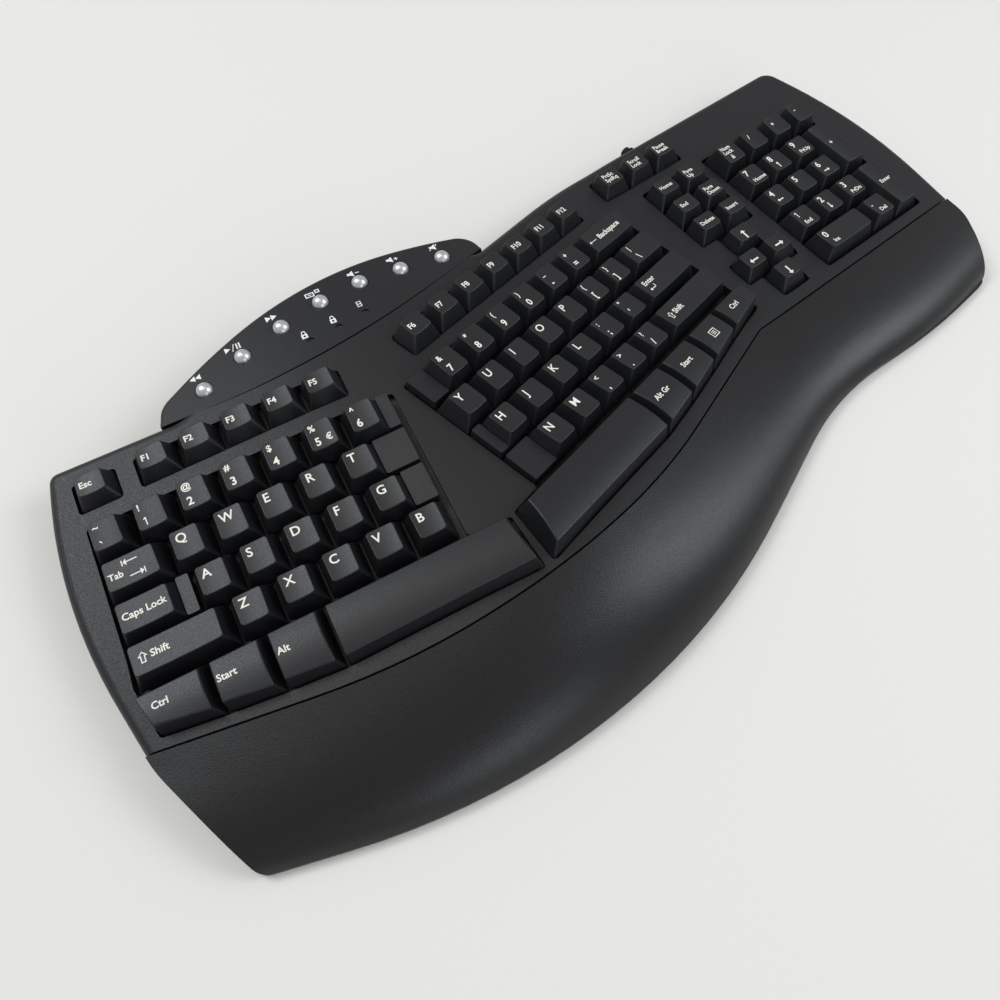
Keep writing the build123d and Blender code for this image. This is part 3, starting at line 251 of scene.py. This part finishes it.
# signs are drawn 2 high; "1" and "`" stand on the line as letters do, the others about their middle
speaker = [(-1.2, -0.3), (-1.2, 0.3), (-0.7, 0.3), (0, 0.8), (0, -0.8), (-0.7, -0.3)]
signs = {
    "1": [[(0.62, 0), (0.88, 0), (0.88, 2), (0.68, 2), (0.2, 1.66), (0.28, 1.42), (0.62, 1.62)]],
    "`": [[(0.15, 1.1), (0.45, 1.2), (0.9, 0.6), (0.7, 0.5)]],
    "left": [arrow(1.5, 180)],
    "right": [arrow(1.5, 0)],
    "up": [arrow(1.5, 90)],
    "down": [arrow(1.5, 270)],
    "longLeft": [arrow(2.2, 180, 0.4, 0.07)],
    "tabBack": [arrow(2.6, 180, 0.62, 0.1), box(-1.56, -0.56, -1.36, 0.56)],
    "tabOn": [arrow(2.6, 0, 0.62, 0.1), box(1.36, -0.56, 1.56, 0.56)],
    "shift": [[(0, 1), (-0.8, 0.15), (-0.4, 0.15), (-0.4, -0.9), (0.4, -0.9), (0.4, 0.15), (0.8, 0.15)],
              [(0, 0.75), (0.46, 0.32), (0.22, 0.32), (0.22, -0.72), (-0.22, -0.72), (-0.22, 0.32),
               (-0.46, 0.32)]],
    "enter": [[(-1.1, -0.1), (-0.5, -0.5), (-0.5, -0.2), (0.9, -0.2), (0.9, 0.75), (1.1, 0.75),
               (1.1, 0), (-0.5, 0), (-0.5, 0.3)]],
    "menu": [box(-1, -0.95, 1, 0.95), box(-0.82, -0.77, 0.82, 0.77)]
    + [box(-0.5, y, 0.5, y + 0.16) for y in (-0.45, -0.08, 0.29)],
    "lock": [box(-0.55, -0.9, 0.55, 0.1), circle(0, -0.4, 0.25, 12),
             [(-0.4, 0.1), (-0.4, 0.6), (-0.2, 0.9), (0.2, 0.9), (0.4, 0.6), (0.4, 0.1), (0.24, 0.1),
              (0.24, 0.5), (0.1, 0.7), (-0.1, 0.7), (-0.24, 0.5), (-0.24, 0.1)]],
    "rewind": [[(0, 0.7), (0, -0.7), (-1.1, 0)], [(1.1, 0.7), (1.1, -0.7), (0, 0)]],
    "forward": [[(0, -0.7), (0, 0.7), (1.1, 0)], [(-1.1, -0.7), (-1.1, 0.7), (0, 0)]],
    "play": [[(-1.7, -0.7), (-1.7, 0.7), (-0.6, 0)], [(-0.35, -0.9), (0.2, 0.9), (0.36, 0.9), (-0.19, -0.9)],
             box(0.6, -0.75, 0.88, 0.75), box(1.15, -0.75, 1.43, 0.75)],
    "window": [box(-1.1, -0.55, 0.25, 0.35), box(-0.92, -0.37, 0.07, 0.17), box(0.45, -0.1, 1.15, 0.6),
               box(0.62, 0.07, 0.98, 0.43), box(-0.7, -0.17, -0.15, -0.03)],
    "speakerLess": [speaker, box(0.35, -0.1, 1.15, 0.1)],
    "speakerMore": [speaker,
                    [(0.35, -0.1), (0.65, -0.1), (0.65, -0.4), (0.85, -0.4), (0.85, -0.1), (1.15, -0.1),
                     (1.15, 0.1), (0.85, 0.1), (0.85, 0.4), (0.65, 0.4), (0.65, 0.1), (0.35, 0.1)]],
    "page": [box(-0.5, -0.8, 0.5, 0.8), box(-0.32, 0.1, 0.32, 0.62), box(-0.32, -0.62, 0.32, -0.1)],
    "mute": [[(-0.7, -0.3), (-0.7, 0.3), (-0.2, 0.3), (0.5, 0.8), (0.5, -0.8), (-0.2, -0.3)],
             [(-0.75, -0.75), (-0.9, -0.6), (-0.8, -0.45), (-0.6, -0.6)],
             [(0.6, 0.35), (0.75, 0.2), (1.0, 0.65), (0.85, 0.8)]],
}


def sign(name, height):
    return flatShape([[(x * height / 2, y * height / 2) for x, y in loop] for loop in signs[name]])


def surfaceTree(piece):
    verts = [v.co.copy() for v in piece.data.vertices]
    return BVHTree.FromPolygons(verts, [tuple(p.vertices) for p in piece.data.polygons])


def layOn(name, surface, items, body, look):
    rise, lift = printLook["rayRise"], printLook["lift"]
    verts, faces = [], []
    tree = surfaceTree(surface)
    for place, dx, dy, turn, shape in items:
        base = len(verts)
        normal = place.to_3x3() @ Vector((0, 0, 1))
        c, s = cos(radians(turn)), sin(radians(turn))
        for x, y in shape[0]:
            spot = place @ (Vector((dx + x * c - y * s, dy + x * s + y * c, rise)) * mm)
            landed = tree.ray_cast(spot, -normal)[0] or spot - normal * rise * mm
            verts.append(landed + normal * lift * mm)
        faces += [tuple(base + i for i in face) for face in shape[1]]
    mesh = bpy.data.meshes.new(name)
    mesh.from_pydata(verts, [], faces)
    mesh.update()
    mesh.materials.append(materials[look])
    piece = bpy.data.objects.new(name, mesh)
    bpy.context.scene.collection.objects.link(piece)
    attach(piece, body)


# key legends: mm from a key's middle to where a word begins, or to a sign's middle
letterSize = dict(x=-4.0, y=0.7, height=3.9, weight=0.022)
symbolSize = dict(x=-4.2, y=2.2, height=2.8, weight=0.035)
digitSize = dict(x=-3.6, y=-4.8, height=3.5, weight=0.035)
functionSize = dict(x=-4.6, y=0.4, height=2.8, weight=0.035)
numberSize = dict(x=-4.6, y=0.9, height=3.9, weight=0.03)
numberArrow = dict(x=-1.6, y=-2.8, height=5.6)


def letters(text, xs, y):
    return [(x, y, [(character, letterSize)]) for character, x in zip(text, xs)]


def pairs(text, xs, y):
    return [(x, y, [(upper, symbolSize), (lower, digitSize)]) for (upper, lower), x in zip(text, xs)]


def small(text, x, y, height=2.35):
    return (text, dict(x=x, y=y, height=height, weight=0.03))


# each key: its place in key pitches from the block's middle, and what is printed on it
legends = {
    "left": {
        "key_esc": [(-3.525, 2.803, [("Esc", functionSize)])],
        "keys_f1_f5": [(-0.06 + 1.013 * i, 2.803, [(f"F{i + 3}", functionSize)]) for i in (-2, -1, 0, 1, 2)],
        "keys_number_left": pairs(["~`", "!1", "@2", "#3", "$4", "%5", "^6"],
                                  [i - 3.5 for i in range(7)], 1.5)
        + [(1.5, 1.5, [("€", dict(x=1.5, y=-4.2, height=2.9, weight=0.04))])],
        "keys_qwert": letters("QWERT", (-2, -1, 0, 1, 2), 0.5),
        "keys_asdfg": letters("ASDFG", (-1.75, -0.75, 0.25, 1.25, 2.25), -0.5),
        "keys_zxcvb": letters("ZXCVB", (-1.25, -0.25, 0.75, 1.75, 2.75), -1.5),
        "key_tab": [(-3.25, 0.5, [small("Tab", -9.4, -2.1, 2.7), ("*tabBack", dict(x=0.6, y=3.3, height=4.6)),
                                  ("*tabOn", dict(x=1.8, y=-3.2, height=4.6))])],
        "key_caps_lock": [(-3.25, -0.5, [small("Caps Lock", -9.2, -1.2, 2.9)])],
        "key_shift_left": [(-2.875, -1.5, [("*shift", dict(x=-13.0, y=0.2, height=5.0)),
                                           small("Shift", -10.0, -1.0, 2.9)])],
        "key_ctrl_left": [(-3.2, -2.6, [small("Ctrl", -9.6, 0.4, 2.8)])],
        "key_start_left": [(-1.9, -2.75, [small("Start", -9.0, 1.6, 2.8)])],
        "key_alt_left": [(-0.62, -2.8, [small("Alt", -9.2, 1.6, 2.8)])],
    },
    "right": {
        "keys_f6_f12": [(0.9 + 1.004 * i, 2.803, [(f"F{i + 9}", functionSize)]) for i in range(-3, 4)],
        "keys_number_right": pairs(["&7", "*8", "(9", ")0", "_-", "+="], [i - 2.5 for i in range(6)], 1.5),
        "keys_yuiop": letters("YUIOP", (-3, -2, -1, 0, 1), 0.5)
        + pairs(["{[", "}]", "|\\"], (2, 3, 4.1), 0.5),
        "keys_hjkl": letters("HJKL", (-2.75, -1.75, -0.75, 0.25), -0.5)
        + pairs([":;", "\"'"], (1.25, 2.25), -0.5),
        "keys_nm": letters("NM", (-2.25, -1.25), -1.5)
        + pairs(["<,", ">.", "?/"], (-0.25, 0.75, 1.75), -1.5),
        "key_backspace": [(4, 1.5, [("*longLeft", dict(x=-12.0, y=-0.3, height=5.0)),
                                    small("Backspace", -7.4, -1.5, 2.9)])],
        "key_enter": [(3.875, -0.5, [small("Enter", -15.0, 1.2, 2.8),
                                     ("*enter", dict(x=-12.4, y=-2.0, height=4.6))])],
        "key_shift_right": [(3.625, -1.5, [("*shift", dict(x=-18.0, y=-0.2, height=4.6)),
                                           small("Shift", -15.2, -1.2, 2.9)])],
        "key_alt_gr": [(0.4, -2.75, [small("Alt Gr", -5.6, -0.6, 2.7)])],
        "key_start_right": [(1.7, -2.65, [small("Start", -4.8, -0.8, 2.7)])],
        "key_menu": [(3.0, -2.55, [("*menu", dict(x=0.2, y=-1.2, height=4.8))])],
        "key_ctrl_right": [(4.3, -2.45, [small("Ctrl", -4.2, -2.0, 2.7)])],
    },
    "pad": {
        "keys_system": [(x, 3.347, [small(a, -4.9, 1.9), small(b, -4.9, -1.2)]) for x, a, b in
                        ((-4.44, "PrtSc", "SysRq"), (-3.435, "Scroll", "Lock"), (-2.43, "Pause", "Break"))],
        "keys_navigation": [
            (-3.386, 2.115, [small("Home", -5.0, 0.4)]),
            (-2.383, 2.115, [small("Page", -4.9, 1.6), small("Up", -4.9, -1.6)]),
            (-3.386, 1.281, [small("End", -4.6, 0.4)]),
            (-2.383, 1.281, [small("Page", -4.9, 1.6), small("Down", -4.9, -1.6)]),
            (-3.386, 0.446, [small("Delete", -5.0, 0.4)]),
            (-2.383, 0.446, [small("Insert", -4.8, 0.4)]),
        ],
        "keys_arrows": [(x, y, [("*" + kind, dict(x=-0.3, y=0.4, height=7.6))]) for x, y, kind in
                        ((-2.871, -0.462, "up"), (-3.344, -1.281, "left"), (-2.346, -1.281, "right"),
                         (-2.814, -2.094, "down"))],
        "keys_numpad_operators": [
            (-1, 2, [small("Num", -4.8, 2.3), small("Lock", -4.8, -0.7),
                     ("*lock", dict(x=-1.2, y=-3.3, height=3.2))]),
            (0, 2, [("/", dict(functionSize, x=-3.2))]),
            (1, 2, [("*", dict(functionSize, x=-3.2, y=-0.9))]),
            (2, 2, [("-", dict(functionSize, x=-3.0))]),
        ],
        "keys_numpad_digits": [(x, y, [(digit, numberSize), lower]) for x, y, digit, lower in (
            (-1, 1, "7", small("Home", -3.4, -4.6)), (0, 1, "8", ("*up", numberArrow)),
            (1, 1, "9", small("PgUp", -3.4, -4.6)), (-1, 0, "4", ("*left", numberArrow)),
            (1, 0, "6", ("*right", numberArrow)),
            (-1, -1, "1", small("End", -3.4, -4.6)), (0, -1, "2", ("*down", numberArrow)),
            (1, -1, "3", small("PgDn", -3.4, -4.6)), (1, -2, ".", small("Del", -2.4, -4.4)))]
        + [(0, 0, [("5", numberSize)])],
        "key_numpad_zero": [(-0.5, -2, [("0", dict(numberSize, x=-13.6)), small("Ins", -11.6, -4.2)])],
        "key_numpad_plus": [(2, 0.5, [("+", dict(x=-3.2, y=-0.6, height=3.2, weight=0.02))])],
        "key_numpad_enter": [(2, -1.5, [small("Enter", -3.4, 0.2)])],
    },
}
shapes = {}
for blockName, table in legends.items():
    for node, keys in table.items():
        items = []
        for across, back, marks in keys:
            for text, size in marks:
                key = (text, size["height"], size.get("weight"))
                name = text.strip("*")
                if key not in shapes and name in signs:
                    shapes[key] = sign(name, size["height"])
                elif key not in shapes:
                    shapes[key] = word(text, size["height"], size["weight"])
                x, y = across * pitch + size["x"], back * pitch + size["y"]
                items.append((blocks[blockName], x, y, 0, shapes[key]))
        layOn("legends_" + node, nodes[node], items, node, "print")
print("legends laid")

# camera: millimetres, and pixels of a picture 1000 wide
frameSize = 1000
lens = dict(focal=29.6, sensor=36.0, position=(-105.938, -164.099, 339.894), middle=(503.174, 494.832),
            right=(0.77897, -0.62604, 0.03566), up=(0.54113, 0.69987, 0.46622))
middleX, middleY = lens["middle"]
camera = bpy.data.objects.new("camera", bpy.data.cameras.new("camera"))
bpy.context.scene.collection.objects.link(camera)
camera.data.lens = lens["focal"]
camera.data.sensor_width = lens["sensor"]
camera.data.clip_start = 0.01
camera.data.clip_end = 20
camera.data.shift_x = 0.5 - middleX / frameSize
camera.data.shift_y = middleY / frameSize - 0.5
rightWay, upWay = Vector(lens["right"]), Vector(lens["up"])
backWay = rightWay.cross(upWay)
turned = Matrix((rightWay, upWay, backWay)).transposed().to_4x4()
turned.translation = (Vector(lens["position"]) + home) * mm
camera.matrix_world = turned
bpy.context.scene.camera = camera


# signs on the media panel: name, pixel where the middle shows, and height in mm
panelSigns = [
    ("rewind", 195, 379, 4.8), ("play", 233, 348, 4.8), ("forward", 271, 318, 5.0), ("window", 312, 294, 6.6),
    ("speakerLess", 353, 273.6, 5.2), ("speakerMore", 392, 259.6, 5.2), ("mute", 432.5, 247.6, 5.4),
    ("lock", 304, 335, 5.2), ("lock", 332.5, 319.5, 5.2), ("page", 359, 304, 4.6),
]
panelTurn = -12
panelDrop = 4  # mm under the panel, so that the rays down to it start just above it
panel = nodes["media_panel"]
panelTree = surfaceTree(panel)
items = []
focalPixels = lens["focal"] / lens["sensor"] * frameSize
for name, x, y, height in panelSigns:
    ray = rightWay * ((x - middleX) / focalPixels) - upWay * ((y - middleY) / focalPixels) - backWay
    hit = panelTree.ray_cast(turned.translation, ray.normalized())[0]
    spot = Matrix.Translation(hit - Vector((0, 0, panelDrop)) * mm)
    items.append((spot, 0, 0, panelTurn, sign(name, height)))
layOn("panel_signs", panel, items, "casing", "panelPrint")
print("panel signs laid")

# floor and light
floorLook = dict(color=(0.82, 0.8, 0.77), size=6, shade=0.97, grain=420.0, roughness=0.9)
floorMesh = bpy.data.meshes.new("floor")
half = floorLook["size"] / 2
corners = [(x, y, 0) for x, y in box(-half, -half, half, half)]
floorMesh.from_pydata(corners, [], [(0, 1, 2, 3)])
floor = bpy.data.objects.new("floor", floorMesh)
bpy.context.scene.collection.objects.link(floor)
floorMaterial = bpy.data.materials.new("floor")
floorMaterial.use_nodes = True
floorShader = Shader(floorMaterial.node_tree)
floorPlace = floorShader.node("ShaderNodeTexCoord", output=3)
cloth = floorShader.node("ShaderNodeTexNoise", Vector=floorPlace, Scale=floorLook["grain"], Detail=3.0)
shaded = [value * floorLook["shade"] for value in floorLook["color"]]
floorSockets = floorMaterial.node_tree.nodes["Principled BSDF"].inputs
floorShader.mix(cloth, rgb(shaded), rgb(floorLook["color"])).link(floorSockets["Base Color"])
floorSockets["Roughness"].default_value = floorLook["roughness"]
floorMesh.materials.append(floorMaterial)

roomLook = dict(color=(1, 1, 1), strength=0.46)
world = bpy.data.worlds.new("room")
bpy.context.scene.world = world
world.use_nodes = True
roomSockets = world.node_tree.nodes["Background"].inputs
roomSockets["Color"].default_value = rgb(roomLook["color"])
roomSockets["Strength"].default_value = roomLook["strength"]

lamps = [
    dict(name="rearWindow", place=(-0.75, 1.05, 1.5), size=0.7, power=15.0, color=(0.88, 0.95, 1.0)),
    dict(name="sideWindow", place=(0.95, -0.62, 1.05), size=0.75, power=8.5, color=(0.88, 0.95, 1.0)),
    dict(name="ceilingLamp", place=(-0.15, 0.33, 1.7), size=0.12, power=1.8, color=(1.0, 0.8, 0.6)),
    dict(name="frontWindow", place=(-0.2, -1.3, 0.55), size=0.5, power=2.2, color=(0.9, 0.95, 1.0)),
]
for lamp in lamps:
    light = bpy.data.lights.new(lamp["name"], "AREA")
    light.energy = lamp["power"]
    light.size = lamp["size"]
    light.color = lamp["color"]
    holder = bpy.data.objects.new(lamp["name"], light)
    bpy.context.scene.collection.objects.link(holder)
    holder.location = lamp["place"]
    holder.rotation_euler = (Vector((0, 0, 0)) - Vector(lamp["place"])).to_track_quat("-Z", "Y").to_euler()
bpy.context.scene.view_settings.view_transform = "Standard"
print("floor and light set")
